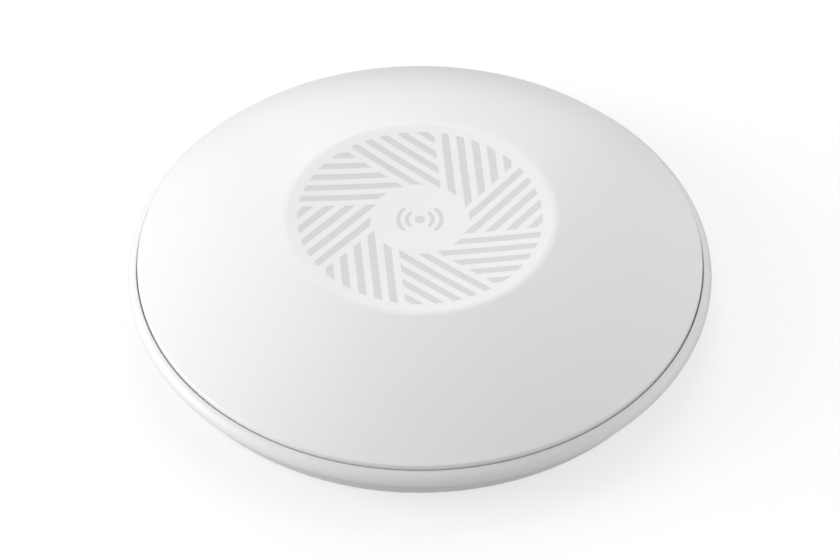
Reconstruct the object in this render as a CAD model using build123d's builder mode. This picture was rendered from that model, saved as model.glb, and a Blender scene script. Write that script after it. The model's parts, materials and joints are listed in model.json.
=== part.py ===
"""Round ceiling access point, 200 mm across, with the bracket that holds it to a ceiling.

Frame: +Z points from the ceiling out through the domed face. The origin is the centre of the
bracket's back face, the face that lies against the ceiling. Sizes are in millimetres.
"""

import os
from math import cos, radians, sin, sqrt

from build123d import *

# ---------------------------------------------------------------- driving dimensions
# outer form
rim_radius = 100.0  # widest point of the rolled rim
rim_roll_radius = 3.83
rim_roll_z = 12.5  # height of the widest point
seam_radius = 96.75  # edge of the front cover
seam_gap = 0.34  # groove between cover and base
seam_edge_radius = 0.3  # rounds the base's edge of the groove
seam_z = 16.2
lip_radius = 96.9  # where the roll ends under the rim
band_top_radius = 96.2  # the base wall steps in under the rim, then tapers
band_low_radius = 93.2
base_z = 0.6  # back of the base, just clear of the ceiling

# front cover
cover_wall = 2.4
dome_radius = 196.7  # the dome is part of a sphere
dome_centre_z = seam_z - 169.66
dome_edge_radius = 0.6
dish_z = seam_z + 19.9  # lowest point of the shallow dish in the face
dish_radius = 648.0  # the dish is part of a much larger sphere
dish_edge_radius = 7.0
skirt_z = 13.4  # lower edge of the cover

# printed pattern on the dish: eight sectors of five bars, like the blades of a shutter
sectors = 8
bars_per_sector = 5
pattern_radius = 41.7
bar_width = 2.52
bar_pitch = 2 * bar_width
sector_offset = 8.33  # a sector's edge line passes this far from the centre
clear_apothem = 16.75  # each sector's inner bar stops at an octagon of this size
pattern_tilt = 4.95
print_depth = 0.25
skin_margin = 1.0  # the skin that the print is cut from reaches this far past it

# centre mark: a dot between two pairs of arcs
mark_dot_radius = 1.7
mark_arc_radii = (4.4, 7.4)
mark_arc_width = 1.3
mark_arc_half_angle = 42.0

# base housing
base_wall = 2.2
ledge_z = 13.1  # the cover's skirt ends just above this ledge
ledge_depth = 3.0
recess_radius = 58.0  # the bracket sits in this recess
recess_z = 5.0
recess_wall = 2.0
floor_z = recess_z + recess_wall  # inner face of the recess floor
rear_floor_z = base_z + base_wall  # inner face of the floor round the recess
bearing_ring_radii = (51.2, 53.2)  # low ring that steadies the base on the bracket
bearing_ring_z = 4.5
base_edge_radius = 0.8
recess_edge_radius = 0.5

# port bay: the pocket in the back that takes the network plug
bay_half_width = 16.0
bay_low_y = -37.0
bay_high_y = 4.0
bay_roof_z = 17.7
bay_wall = 1.5
bay_corner = 2.0
port_window_width = 16.8

# bracket
sheet = 1.4
bracket_radius = 56.0
bracket_edge_radius = 1.0
plate_z = 2.8  # underside of the raised plate
plate_top_z = plate_z + sheet
screw_hole_radius = 2.25
corner_hole_offset = 28.0
corner_pad_radius = 6.2
slot_hole_offset = 30.0
slot_hole_length = 9.0
slot_pad_radius = 8.0
pad_wall_run = 1.6  # how far a pad's wall leans out as it rises to the plate
pad_wall_foot = 0.8  # the wall's inner face starts this far inside the pad's edge
pad_wall_head = 0.4  # and ends this far inside the outer face's top
cable_opening = (26.0, 36.0)
cable_opening_y = -16.0
cable_opening_corner = 5.0

# twist lock between base and bracket
stud_circle = 46.0
stud_count = 4
neck_radius = 2.1
head_radius = 4.2
head_z = (1.1, 2.5)
head_chamfer = 0.4
stud_shank_radius = 1.7
rivet_radii = (2.6, 2.2)  # the riveted end spreads over the inner face of the recess floor
rivet_height = 0.7
lock_turn = 15.0  # turn from locked to the entry holes
key_slot_radius = 2.4
key_entry_radius = 4.7

# spring tongue in the bracket, with a dimple that clicks into the base
tongue_y = 30.0
tongue_length = 15.0
tongue_width = 6.0
tongue_cut = 0.9
tongue_tip_x = 3.75 - tongue_cut
dimple_radius = 1.6
dimple_height = 0.5
dimple_taper = 35
dimple_hollow_radius = 2.1
dimple_hollow_depth = 0.8

# board stack
board_z = 20.4
board_thickness = 1.6
board_top_z = board_z + board_thickness
board_radius = 74.0
board_half_width = 66.0
post_spot = (55.7, 39.0)
post_radius = 3.5
post_pilot_radius = 1.3
board_pilot_depth = 9.0
spreader_pilot_depth = 6.0
cover_boss_circle = 84.0
cover_boss_count = 4
cover_boss_radius = 4.0
cover_boss_z = 9.6
cover_pilot_radius = 1.55
cover_pilot_depth = 9.0
base_boss_radius = 5.5
base_boss_gap = 0.1  # between the base's bosses and the cover's
screw_seat_z = 5.6  # the cover screws' heads bear here
screw_clearance_radius = 1.7
counterbore_radius = 3.6

# screws: radius and height of the head, radius and length of the shank
cover_screw_size = (2.8, 2.0, 1.45, 12.5)
board_screw_size = (2.7, 1.8, 1.2, 9.5)
spreader_screw_size = (2.5, 1.6, 1.2, 7.0)
small_screw_hole_radius = 1.6

# heat spreader under the board
spreader_size = (96.0, 40.0)
spreader_y = 43.0
spreader_thickness = 1.6
spreader_z = 15.2
spreader_corner = 6.0
spreader_spots = ((-43.0, 28.0), (43.0, 28.0), (-28.0, 58.0), (28.0, 58.0))
spreader_notch_spots = ((-49.0, 58.0), (49.0, 58.0))
spreader_notch_radius = 9.0

# chips on the board's underside, shields over them and pads down to the spreader
processor_spot = (0.0, 42.0)
radio_spots = ((-32.0, 44.0), (32.0, 44.0))
processor_can_size = (26.0, 26.0)
radio_can_size = (22.0, 20.0)
can_height = 2.5
can_sheet = 0.3
can_corner = 0.8
can_z = board_z - can_height
pad_margin = 3.0
processor_size = (14.0, 14.0)
processor_shift = -3.0
memory_size = (7.0, 12.0)
memory_shift = 8.5
radio_chip_size = (9.0, 9.0)
chip_height = 1.2

# network port
port_width = 16.1
port_length = 15.9
port_height = 13.0
port_sheet = 0.3
port_edge_radius = 0.5
port_front_y = bay_high_y + bay_wall + 0.3
insulator_gap = 0.05
insulator_setback = 0.4
mouth_width = 12.0
mouth_height = 8.2
mouth_depth = 12.5
mouth_z = 8.7
latch_notch_width = 6.4
latch_notch_height = 0.8
contact_count = 8
contact_pitch = 1.02
contact_wire = 0.4
contact_bend_radius = 0.5
contact_rise = 1.2  # the springs are anchored this far above the mouth
contact_drop = 2.6  # and reach this far down into it
contact_ends_y = (13.6, 3.0, 10.5)  # anchor, bend and tip, from the port's front
contact_room_height = 1.8
contact_room_setback = 1.6

# reset button beside the port
reset_x = 12.0
reset_z = 15.0
reset_cap_radius = 2.2
reset_stem_radius = 1.6
reset_travel = 0.25
reset_body = (6.0, 3.5, 6.0)
reset_clearance = 0.3
reset_stem_clearance = 0.05
reset_setback = 1.2  # from the port's front back to the switch
reset_gap = 0.6  # between the cap and the switch
reset_cap_edge = 0.4
reset_back_wall = 1.0

# vents in the back
vent_radii = (64.5, 76.5)
vent_width = 2.2
vent_pitch = 5.0
vents_per_group = 12

# rear label, blank
label_size = (40.0, 16.0)
label_corner = 2.0
label_gap = 0.3
label_y = 77.0
label_depth = 0.3
label_thickness = 0.2

# parts on top of the board
network_transformer_size = (24.0, 14.0, 5.6)
network_transformer_spot = (0.0, 22.0)
power_transformer_size = (17.0, 15.0, 7.4)
power_transformer_spot = (-26.0, -14.0)
winding_window = (11.0, 2.5)  # how wide and deep the windings' windows are
core_flange = 1.4
capacitor_spots = ((-44.0, -22.0), (-44.0, -10.0))
capacitor_foot = 8.3
capacitor_foot_height = 1.2
capacitor_radius = 4.0
capacitor_can_height = 5.0
inductor_spots = ((-10.0, -24.0), (-10.0, -38.0))
inductor_size = (9.0, 9.0, 4.0)
inductor_corner = 1.5

# antennas: length, width and height, and the directions in which they stand
antenna_sheet = 0.5
antenna_circle = 61.0
low_band_size = (24.0, 8.0, 5.4)
low_band_angles = (90, 200, 340)
high_band_size = (13.0, 6.0, 4.0)
high_band_angles = (130, 50, 270)

# status light, and the light pipe over it
led_size = 1.6
led_height = 0.9
light_pipe_radius = 2.5
light_pipe_gap = 0.6  # between the light and the pipe
light_pipe_head_gap = 0.3  # between the pipe and the cover
light_pipe_foot = (2.0, 1.4)
light_pipe_foot_y = 2.6
collar_clearance = 0.2
collar_wall = 1.4
collar_height = 3.0

# how far a cut runs past the face that it opens, and a post past the wall that it joins
over = 1.0

os.makedirs("parts", exist_ok=True)


def dome_z(r, inset=0.0):
    """Height at radius r of the dome, or of the surface that lies inset inside it."""
    return dome_centre_z + sqrt((dome_radius - inset) ** 2 - r**2)


def dish_surface_z(r, inset=0.0):
    """Height at radius r of the dish, or of the surface that lies inset below it."""
    radius = dish_radius + inset
    return dish_z - inset + radius - sqrt(radius**2 - r**2)


def dish_rim(inset=0.0):
    """Radius at which the dish meets the dome."""
    low, high = pattern_radius, seam_radius
    while high - low > 1e-6:
        middle = (low + high) / 2
        if dish_surface_z(middle, inset) < dome_z(middle, inset):
            low = middle
        else:
            high = middle
    return low


def cover_face(inset, bottom_z, edge_radius, rim_edge_radius):
    """Half section of the cover's outer form, or of the space inside it."""
    rim = dish_rim(inset)
    edge = seam_radius - inset
    shoulder = (rim + edge) / 2
    with BuildSketch(Plane.XZ) as face:
        with BuildLine():
            ThreePointArc(
                (0, dish_surface_z(0, inset)),
                (rim / 2, dish_surface_z(rim / 2, inset)),
                (rim, dish_surface_z(rim, inset)),
            )
            ThreePointArc(
                (rim, dish_surface_z(rim, inset)),
                (shoulder, dome_z(shoulder, inset)),
                (edge, dome_z(edge, inset)),
            )
            Polyline(
                (edge, dome_z(edge, inset)),
                (edge, bottom_z),
                (0, bottom_z),
                (0, dish_surface_z(0, inset)),
            )
        make_face()
        fillet(face.vertices().sort_by(Axis.Y)[-1], radius=rim_edge_radius)
        fillet(face.vertices().group_by(Axis.X)[-1].sort_by(Axis.Y)[-1], radius=edge_radius)
    return face.sketch


def ring_points(radius, count, start=0.0):
    """Points evenly spaced on a circle."""
    turns = [radians(start + 360 * k / count) for k in range(count)]
    return [(radius * cos(a), radius * sin(a)) for a in turns]


def mirrored(spot):
    """The four points at plus and minus a point's coordinates."""
    return [(sx * spot[0], sy * spot[1]) for sx in (-1, 1) for sy in (-1, 1)]


def posts(points, low, high, pilot_depth):
    """Round posts that stand from low to high, each with a screw's pilot hole in its top."""
    with BuildPart() as made:
        with BuildSketch(Plane.XY.offset(low)):
            with Locations(*points):
                Circle(post_radius)
        extrude(amount=high - low)
        with BuildSketch(Plane.XY.offset(high)):
            with Locations(*points):
                Circle(post_pilot_radius)
        extrude(amount=-pilot_depth, mode=Mode.SUBTRACT)
    return made.part


def pan_screw(head_radius, head_height, shank_radius, length):
    """Pan-head screw that points down -Z, with the underside of its head at the origin."""
    cross_depth = 0.6 * head_height
    cross_span = 1.1 * head_radius
    cross_width = 0.22 * head_radius
    with BuildPart() as made:
        with BuildSketch():
            Circle(head_radius)
        extrude(amount=head_height)
        fillet(made.faces().sort_by(Axis.Z)[-1].edges(), radius=0.45 * head_height)
        with BuildSketch():
            Circle(shank_radius)
        extrude(amount=-length)
        chamfer(made.faces().sort_by(Axis.Z)[0].edges(), length=0.4 * shank_radius)
        with BuildSketch(Plane.XY.offset(head_height)):
            Rectangle(cross_span, cross_width)
            Rectangle(cross_width, cross_span)
        extrude(amount=-cross_depth, mode=Mode.SUBTRACT)
    return made.part


def can(width, depth, low, high, wall):
    """Open-topped can of thin sheet, with its closed face at low and its open side at high."""
    with BuildPart() as made:
        with BuildSketch(Plane.XY.offset(low)):
            RectangleRounded(width, depth, can_corner)
        extrude(amount=high - low)
        with BuildSketch(Plane.XY.offset(low + wall)):
            RectangleRounded(width - 2 * wall, depth - 2 * wall, can_corner - wall)
        extrude(amount=high - low - wall, mode=Mode.SUBTRACT)
    return made.part


def write(part, name):
    """Labels a finished sub-part and writes its STEP file."""
    part.label = name
    export_step(part, f"parts/{name}.step")


# ---------------------------------------------------------------- printed pattern and mark
# the print is a thin skin cut from just under the dish's surface
skin_radius = pattern_radius + skin_margin
skin_low = dish_z - print_depth - skin_margin
skin_high = dish_surface_z(skin_radius) + skin_margin

with BuildPart() as dish_skin:
    with BuildSketch(Plane.XZ):
        with BuildLine():
            ThreePointArc(
                (0, dish_surface_z(0)),
                (skin_radius / 2, dish_surface_z(skin_radius / 2)),
                (skin_radius, dish_surface_z(skin_radius)),
            )
            Line(
                (skin_radius, dish_surface_z(skin_radius)),
                (skin_radius, dish_surface_z(skin_radius, print_depth)),
            )
            ThreePointArc(
                (skin_radius, dish_surface_z(skin_radius, print_depth)),
                (skin_radius / 2, dish_surface_z(skin_radius / 2, print_depth)),
                (0, dish_surface_z(0, print_depth)),
            )
            Line((0, dish_surface_z(0, print_depth)), (0, dish_surface_z(0)))
        make_face()
    revolve(axis=Axis.Z)


def bar(number):
    """One bar of a sector, at full length. The bars run along Y and step out along X."""
    near_edge = sector_offset + bar_width + number * bar_pitch
    with BuildSketch() as made:
        with Locations((near_edge + bar_width / 2, 0)):
            Rectangle(bar_width, 3 * pattern_radius)
    return made.sketch


with BuildSketch() as sector:
    add(bar(0))
    # the inner bar stops at the clear octagon
    octagon_turn = 180 / sectors - pattern_tilt
    RegularPolygon(
        clear_apothem, sectors, major_radius=False, rotation=octagon_turn, mode=Mode.SUBTRACT
    )
    for number in range(1, bars_per_sector):
        add(bar(number))
    # the next sector's edge line cuts every bar off
    cut_size = 4 * pattern_radius
    with Locations(Rotation(0, 0, -360 / sectors) * Location((sector_offset - cut_size / 2, 0))):
        Rectangle(cut_size, cut_size, mode=Mode.INTERSECT)
    Circle(pattern_radius, mode=Mode.INTERSECT)

with BuildPart() as face_pattern:
    with BuildSketch(Plane.XY.offset(skin_low)):
        with PolarLocations(0, sectors, start_angle=pattern_tilt):
            add(sector.sketch)
    extrude(amount=skin_high - skin_low)
    add(dish_skin.part, mode=Mode.INTERSECT)

with BuildPart() as centre_mark:
    with BuildSketch(Plane.XY.offset(skin_low)):
        Circle(mark_dot_radius)
        for arc_radius in mark_arc_radii:
            for side in (0, 180):
                with BuildLine():
                    arc = CenterArc(
                        (0, 0), arc_radius, side - mark_arc_half_angle, 2 * mark_arc_half_angle
                    )
                    offset(arc, amount=mark_arc_width / 2, kind=Kind.ARC)
                make_face()
    extrude(amount=skin_high - skin_low)
    add(dish_skin.part, mode=Mode.INTERSECT)

# ---------------------------------------------------------------- front cover
cover_boss_points = ring_points(
    cover_boss_circle, cover_boss_count, start=180 / cover_boss_count
)
collar_bore = light_pipe_radius + collar_clearance
cover_form = cover_face(0, skirt_z, dome_edge_radius, dish_edge_radius)

# the bosses and the light pipe's collar end in the wall, whatever its slope
with BuildPart() as cover_bosses:
    with BuildSketch(Plane.XY.offset(cover_boss_z)):
        with Locations(*cover_boss_points):
            Circle(cover_boss_radius)
    extrude(amount=dish_z - cover_boss_z)
    with BuildSketch(Plane.XY.offset(dish_z - cover_wall - collar_height)):
        Circle(collar_bore + collar_wall)
        Circle(collar_bore, mode=Mode.SUBTRACT)
    extrude(amount=collar_height + cover_wall / 2)
    with BuildSketch(Plane.XZ):
        add(cover_face(cover_wall / 2, 0, dome_edge_radius / 2, dish_edge_radius))
    revolve(axis=Axis.Z, mode=Mode.INTERSECT)

with BuildPart() as front_cover:
    revolve(cover_form, axis=Axis.Z)
    revolve(
        cover_face(cover_wall, skirt_z - over, dome_edge_radius / 2, dish_edge_radius),
        axis=Axis.Z,
        mode=Mode.SUBTRACT,
    )
    add(cover_bosses.part)
    with BuildSketch(Plane.XY.offset(cover_boss_z)):
        with Locations(*cover_boss_points):
            Circle(cover_pilot_radius)
    extrude(amount=cover_pilot_depth, mode=Mode.SUBTRACT)
    add(face_pattern.part, mode=Mode.SUBTRACT)
    add(centre_mark.part, mode=Mode.SUBTRACT)

# ---------------------------------------------------------------- base housing
groove_radius = seam_radius + seam_gap
lip_z = rim_roll_z - sqrt(rim_roll_radius**2 - (lip_radius - rim_radius + rim_roll_radius) ** 2)
band_lean = (band_top_radius - band_low_radius) / (lip_z - base_z)
wall_radius = groove_radius - ledge_depth
floor_edge_radius = wall_radius - band_lean * (lip_z - rear_floor_z)
stud_points = ring_points(stud_circle, stud_count)

board_posts = posts(mirrored(post_spot), rear_floor_z - over, board_z, board_pilot_depth)
inner_spreader_posts = posts(
    spreader_spots[:2], floor_z - over, spreader_z, spreader_pilot_depth
)
outer_spreader_posts = posts(
    spreader_spots[2:], rear_floor_z - over, spreader_z, spreader_pilot_depth
)

with BuildPart() as base_housing:
    # shell: rolled rim, tapered band, rear floor and the raised floor of the recess
    with BuildSketch(Plane.XZ):
        with BuildLine():
            ThreePointArc((groove_radius, seam_z), (rim_radius, rim_roll_z), (lip_radius, lip_z))
            Polyline(
                (lip_radius, lip_z),
                (band_top_radius, lip_z),
                (band_low_radius, base_z),
                (recess_radius, base_z),
                (recess_radius, recess_z),
                (0, recess_z),
                (0, floor_z),
                (recess_radius + recess_wall, floor_z),
                (recess_radius + recess_wall, rear_floor_z),
                (floor_edge_radius, rear_floor_z),
                (wall_radius, lip_z),
                (wall_radius, ledge_z),
                (groove_radius, ledge_z),
                (groove_radius, seam_z),
            )
        make_face()
    revolve(axis=Axis.Z)
    back_edges = base_housing.faces().filter_by(Axis.Z).sort_by(Axis.Z)[0].edges()
    fillet(back_edges.sort_by(SortBy.RADIUS)[-1], radius=base_edge_radius)
    fillet(back_edges.sort_by(SortBy.RADIUS)[0], radius=recess_edge_radius)
    fillet(base_housing.edges().group_by(Axis.Z)[-1], radius=seam_edge_radius)

    # low ring that steadies the base on the bracket
    with BuildSketch(Plane.XY.offset(bearing_ring_z)):
        Circle(bearing_ring_radii[1])
        Circle(bearing_ring_radii[0], mode=Mode.SUBTRACT)
    extrude(amount=recess_z + over - bearing_ring_z)

    # port bay
    bay_centre_y = (bay_low_y + bay_high_y) / 2
    bay_length = bay_high_y - bay_low_y
    with BuildSketch(Plane.XY.offset(recess_z)):
        with Locations((0, bay_centre_y)):
            RectangleRounded(
                2 * (bay_half_width + bay_wall), bay_length + 2 * bay_wall, bay_corner + bay_wall
            )
    extrude(amount=bay_roof_z + bay_wall - recess_z)
    with BuildSketch(Plane.XY.offset(bay_roof_z)):
        with Locations((0, bay_centre_y)):
            RectangleRounded(2 * bay_half_width, bay_length, bay_corner)
    extrude(amount=-(bay_roof_z - bearing_ring_z + over), mode=Mode.SUBTRACT)

    # window for the network port, and hole for the reset button
    with BuildSketch(Plane.XZ.offset(-(bay_high_y - over))):
        with Locations((0, (floor_z + bay_roof_z) / 2)):
            Rectangle(port_window_width, bay_roof_z - floor_z)
        with Locations((reset_x, reset_z)):
            Circle(reset_cap_radius + reset_clearance)
    extrude(amount=-(bay_wall + 2 * over), mode=Mode.SUBTRACT)

    # posts for the board and the heat spreader, bosses for the cover screws
    add(board_posts)
    add(inner_spreader_posts)
    add(outer_spreader_posts)
    with BuildSketch(Plane.XY.offset(cover_boss_z - base_boss_gap)):
        with Locations(*cover_boss_points):
            Circle(base_boss_radius)
    extrude(amount=-(cover_boss_z - base_boss_gap - rear_floor_z + over))
    with Locations(*[(x, y, base_z) for x, y in cover_boss_points]):
        with Locations(Rotation(180, 0, 0)):
            CounterBoreHole(
                screw_clearance_radius, counterbore_radius, screw_seat_z - base_z, cover_boss_z
            )

    # holes for the lock studs
    with BuildSketch(Plane.XY.offset(recess_z - over)):
        with Locations(*stud_points):
            Circle(stud_shank_radius)
    extrude(amount=recess_wall + 2 * over, mode=Mode.SUBTRACT)

    # hollows that the bracket's dimple clicks into, locked and unlocked
    with BuildSketch(Plane.XY.offset(recess_z)):
        for turn in (0, lock_turn):
            angle = radians(90 - turn)
            with Locations((tongue_y * cos(angle), tongue_y * sin(angle))):
                Circle(dimple_hollow_radius)
    extrude(amount=dimple_hollow_depth, mode=Mode.SUBTRACT)

    # vents, in a group on each side
    group_half = vent_pitch * (vents_per_group - 1) / 2
    vent_middle = (vent_radii[0] + vent_radii[1]) / 2
    with BuildSketch(Plane.XY.offset(base_z - over)):
        for side in (0, 180):
            with PolarLocations(
                vent_middle,
                vents_per_group,
                start_angle=side - group_half,
                angular_range=2 * group_half,
                endpoint=True,
            ):
                SlotOverall(vent_radii[1] - vent_radii[0], vent_width)
    extrude(amount=base_wall + 2 * over, mode=Mode.SUBTRACT)

    # shallow seat for the rear label
    with BuildSketch(Plane.XY.offset(base_z)):
        with Locations((0, label_y)):
            RectangleRounded(
                label_size[0] + 2 * label_gap,
                label_size[1] + 2 * label_gap,
                label_corner + label_gap,
            )
    extrude(amount=label_depth, mode=Mode.SUBTRACT)

# ---------------------------------------------------------------- mounting bracket
corner_hole_points = mirrored((corner_hole_offset, corner_hole_offset))
slot_points = [(-slot_hole_offset, 0), (slot_hole_offset, 0)]


def pad(radius):
    """Flat pad that touches the ceiling, with a wall that leans out up to the plate."""
    top_radius = radius + pad_wall_run
    with BuildPart() as made:
        with BuildSketch(Plane.XZ):
            Polygon(
                (0, 0),
                (radius, 0),
                (top_radius, plate_z),
                (top_radius + sheet, plate_z),
                (top_radius + sheet, plate_top_z),
                (top_radius - pad_wall_head, plate_top_z),
                (radius - pad_wall_foot, sheet),
                (0, sheet),
                align=None,
            )
        revolve(axis=Axis.Z)
    return made.part


corner_pad = pad(corner_pad_radius)
slot_pad = pad(slot_pad_radius)

with BuildPart() as mounting_bracket:
    # plate with a turned-down edge that stands on the ceiling
    with BuildSketch(Plane.XZ):
        Polygon(
            (0, plate_z),
            (bracket_radius - sheet, plate_z),
            (bracket_radius - sheet, 0),
            (bracket_radius, 0),
            (bracket_radius, plate_top_z),
            (0, plate_top_z),
            align=None,
        )
    revolve(axis=Axis.Z)
    outer_edge = mounting_bracket.edges().filter_by(GeomType.CIRCLE).group_by(Axis.Z)[-1]
    fillet(outer_edge, radius=bracket_edge_radius)

    # pads for the ceiling screws
    with BuildSketch(Plane.XY.offset(plate_z - over)):
        with Locations(*corner_hole_points):
            Circle(corner_pad_radius + pad_wall_run)
        with Locations(*slot_points):
            Circle(slot_pad_radius + pad_wall_run)
    extrude(amount=sheet + 2 * over, mode=Mode.SUBTRACT)
    with Locations(*corner_hole_points):
        add(corner_pad)
    with Locations(*slot_points):
        add(slot_pad)
    with BuildSketch(Plane.XY.offset(-over)):
        with Locations(*corner_hole_points):
            Circle(screw_hole_radius)
        with Locations(*slot_points):
            SlotOverall(slot_hole_length, 2 * screw_hole_radius)
    extrude(amount=sheet + 2 * over, mode=Mode.SUBTRACT)

    # opening for the network cable
    with BuildSketch(Plane.XY.offset(plate_z - over)):
        with Locations((0, cable_opening_y)):
            RectangleRounded(*cable_opening, cable_opening_corner)
    extrude(amount=sheet + 2 * over, mode=Mode.SUBTRACT)

    # keyholes: a curved slot for the stud's neck, and an entry hole for its head
    with BuildSketch(Plane.XY.offset(plate_z - over)):
        for start in range(0, 360, 360 // stud_count):
            with BuildLine():
                path = CenterArc((0, 0), stud_circle, start, lock_turn)
                offset(path, amount=key_slot_radius, kind=Kind.ARC)
            make_face()
        with Locations(*ring_points(stud_circle, stud_count, start=lock_turn)):
            Circle(key_entry_radius)
    extrude(amount=sheet + 2 * over, mode=Mode.SUBTRACT)

    # spring tongue: a U-shaped cut round it, and a dimple near its tip
    with BuildSketch(Plane.XY.offset(plate_z - over)):
        with Locations((tongue_tip_x + tongue_cut - tongue_length / 2, tongue_y)):
            Rectangle(tongue_length, tongue_width + 2 * tongue_cut)
        with Locations((tongue_tip_x - tongue_length / 2, tongue_y)):
            Rectangle(tongue_length, tongue_width, mode=Mode.SUBTRACT)
    extrude(amount=sheet + 2 * over, mode=Mode.SUBTRACT)
    with BuildSketch(Plane.XY.offset(plate_top_z)):
        with Locations((0, tongue_y)):
            Circle(dimple_radius)
    extrude(amount=dimple_height, taper=dimple_taper)

# ---------------------------------------------------------------- lock studs
with BuildPart() as stud:
    with BuildSketch(Plane.XZ):
        Polygon(
            (0, head_z[0]),
            (head_radius - head_chamfer, head_z[0]),
            (head_radius, head_z[0] + head_chamfer),
            (head_radius, head_z[1]),
            (neck_radius, head_z[1]),
            (neck_radius, recess_z),
            (stud_shank_radius, recess_z),
            (stud_shank_radius, floor_z),
            (rivet_radii[0], floor_z),
            (rivet_radii[1], floor_z + rivet_height),
            (0, floor_z + rivet_height),
            align=None,
        )
    revolve(axis=Axis.Z)

with BuildPart() as lock_studs:
    with Locations(*stud_points):
        add(stud.part)

# ---------------------------------------------------------------- screws
cover_screw = pan_screw(*cover_screw_size)
board_screw = pan_screw(*board_screw_size)
spreader_screw = pan_screw(*spreader_screw_size)

with BuildPart() as cover_screws:
    with Locations(*[(x, y, screw_seat_z) for x, y in cover_boss_points]):
        with Locations(Rotation(180, 0, 0)):
            add(cover_screw)

with BuildPart() as board_screws:
    with Locations(*[(x, y, board_top_z) for x, y in mirrored(post_spot)]):
        add(board_screw)

with BuildPart() as spreader_screws:
    with Locations(*[(x, y, spreader_z + spreader_thickness) for x, y in spreader_spots]):
        add(spreader_screw)

# ---------------------------------------------------------------- board
with BuildPart() as main_board:
    with BuildSketch(Plane.XY.offset(board_z)):
        Circle(board_radius)
        Rectangle(2 * board_half_width, 3 * board_radius, mode=Mode.INTERSECT)
        with Locations(*mirrored(post_spot)):
            Circle(small_screw_hole_radius, mode=Mode.SUBTRACT)
    extrude(amount=board_thickness)

# ---------------------------------------------------------------- heat spreader and pads
with BuildPart() as heat_spreader:
    with BuildSketch(Plane.XY.offset(spreader_z)):
        with Locations((0, spreader_y)):
            RectangleRounded(*spreader_size, spreader_corner)
        with Locations(*spreader_notch_spots):
            Circle(spreader_notch_radius, mode=Mode.SUBTRACT)
        with Locations(*spreader_spots):
            Circle(small_screw_hole_radius, mode=Mode.SUBTRACT)
    extrude(amount=spreader_thickness)

with BuildPart() as thermal_pads:
    with BuildSketch(Plane.XY.offset(spreader_z + spreader_thickness)):
        with Locations(processor_spot):
            Rectangle(processor_can_size[0] - pad_margin, processor_can_size[1] - pad_margin)
        with Locations(*radio_spots):
            Rectangle(radio_can_size[0] - pad_margin, radio_can_size[1] - pad_margin)
    extrude(amount=can_z - spreader_z - spreader_thickness)

# ---------------------------------------------------------------- shields and chips
processor_can = can(*processor_can_size, can_z, board_z, can_sheet)
radio_can = can(*radio_can_size, can_z, board_z, can_sheet)


def chips(size, spots):
    """Flat chips that hang from the board's underside."""
    with BuildPart() as made:
        with BuildSketch(Plane.XY.offset(board_z)):
            with Locations(*spots):
                Rectangle(*size)
        extrude(amount=-chip_height)
    return made.part


with BuildPart() as processor_shield:
    with Locations(processor_spot):
        add(processor_can)

with BuildPart() as radio_shields:
    with Locations(*radio_spots):
        add(radio_can)

with BuildPart() as processor_chip:
    add(chips(processor_size, [(processor_spot[0] + processor_shift, processor_spot[1])]))

with BuildPart() as memory_chip:
    add(chips(memory_size, [(processor_spot[0] + memory_shift, processor_spot[1])]))

with BuildPart() as radio_chips:
    add(chips(radio_chip_size, radio_spots))

# ---------------------------------------------------------------- network port
port_middle_z = board_z - port_height / 2
mouth_top_z = mouth_z + mouth_height

with BuildPart() as port_shell:
    with BuildSketch(Plane.XZ.offset(-port_front_y)):
        with Locations((0, port_middle_z)):
            Rectangle(port_width, port_height)
    extrude(amount=-port_length)
    fillet(port_shell.edges().filter_by(Axis.Y), radius=port_edge_radius)
    with BuildSketch(Plane.XZ.offset(-port_front_y)):
        with Locations((0, port_middle_z)):
            Rectangle(port_width - 2 * port_sheet, port_height - 2 * port_sheet)
    extrude(amount=-(port_length - port_sheet), mode=Mode.SUBTRACT)

with BuildPart() as port_insulator:
    inset = port_sheet + insulator_gap
    with BuildSketch(Plane.XZ.offset(-(port_front_y + insulator_setback))):
        with Locations((0, port_middle_z)):
            Rectangle(port_width - 2 * inset, port_height - 2 * inset)
    extrude(amount=-(port_length - port_sheet - insulator_setback - 2 * insulator_gap))
    # mouth, with the notch for the plug's latch on its ceiling side
    with BuildSketch(Plane.XZ.offset(-port_front_y)):
        with Locations((0, mouth_z + mouth_height / 2)):
            Rectangle(mouth_width, mouth_height)
        with Locations((0, mouth_z - latch_notch_height / 2)):
            Rectangle(latch_notch_width, latch_notch_height)
    extrude(amount=-mouth_depth, mode=Mode.SUBTRACT)
    # room above the mouth for the contact springs
    with BuildSketch(Plane.XZ.offset(-(port_front_y + contact_room_setback))):
        with Locations((0, mouth_top_z + contact_room_height / 2)):
            Rectangle(contact_count * contact_pitch + contact_wire, contact_room_height)
    extrude(amount=-(mouth_depth + contact_wire), mode=Mode.SUBTRACT)

with BuildPart() as port_contacts:
    first_x = -contact_pitch * (contact_count - 1) / 2
    anchor_y, bend_y, tip_y = [port_front_y + y for y in contact_ends_y]
    for k in range(contact_count):
        x = first_x + k * contact_pitch
        with BuildSketch(Plane.YZ.offset(x - contact_wire / 2)):
            with BuildLine() as spring:
                FilletPolyline(
                    (anchor_y, mouth_top_z + contact_rise),
                    (bend_y, mouth_top_z + contact_rise),
                    (tip_y, mouth_top_z - contact_drop),
                    radius=contact_bend_radius,
                )
            trace(spring.line, line_width=contact_wire)
        extrude(amount=contact_wire)

# ---------------------------------------------------------------- power and network parts
with BuildPart() as network_transformer:
    width, depth, height = network_transformer_size
    with BuildSketch(Plane.XY.offset(board_top_z)):
        with Locations(network_transformer_spot):
            RectangleRounded(width, depth, 0.1 * height)
    extrude(amount=height)
    chamfer(network_transformer.faces().sort_by(Axis.Z)[-1].edges(), length=0.07 * height)

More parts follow.
